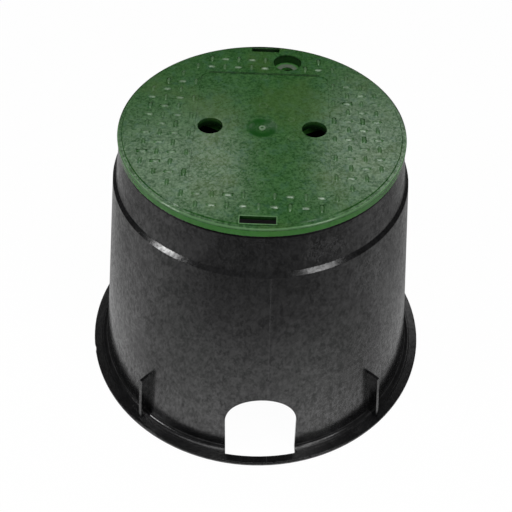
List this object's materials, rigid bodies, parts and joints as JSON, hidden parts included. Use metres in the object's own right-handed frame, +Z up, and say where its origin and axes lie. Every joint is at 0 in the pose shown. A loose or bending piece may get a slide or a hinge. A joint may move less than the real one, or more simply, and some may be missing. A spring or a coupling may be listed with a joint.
{
  "type": "round irrigation valve box",
  "caption": "Round bell-shaped valve box with a foot flange, two arched pipe openings and a lift-off treaded cover with finger holes and a bolt seat.",
  "frame": {"origin": "on the ground at the box's vertical axis, in the plane of the flange's underside", "axes": "+Z up along the axis, -Y out through the front pipe opening, +X to the right seen from there"},
  "size_m": [0.3324, 0.3324, 0.261],
  "materials": {
    "body_plastic": "black structural-foam polyolefin, satin with a faint swirl",
    "cover_plastic": "dark green moulded polyolefin, satin"
  },
  "bodies": {
    "box": {"body": "body_plastic"},
    "lid": {"cover": "cover_plastic"}
  },
  "joints": [
    {"name": "cover_lift", "type": "slide", "parent": "box", "child": "lid", "axis": [0, 0, 1], "range_m": [0, 0.1]}
  ]
}
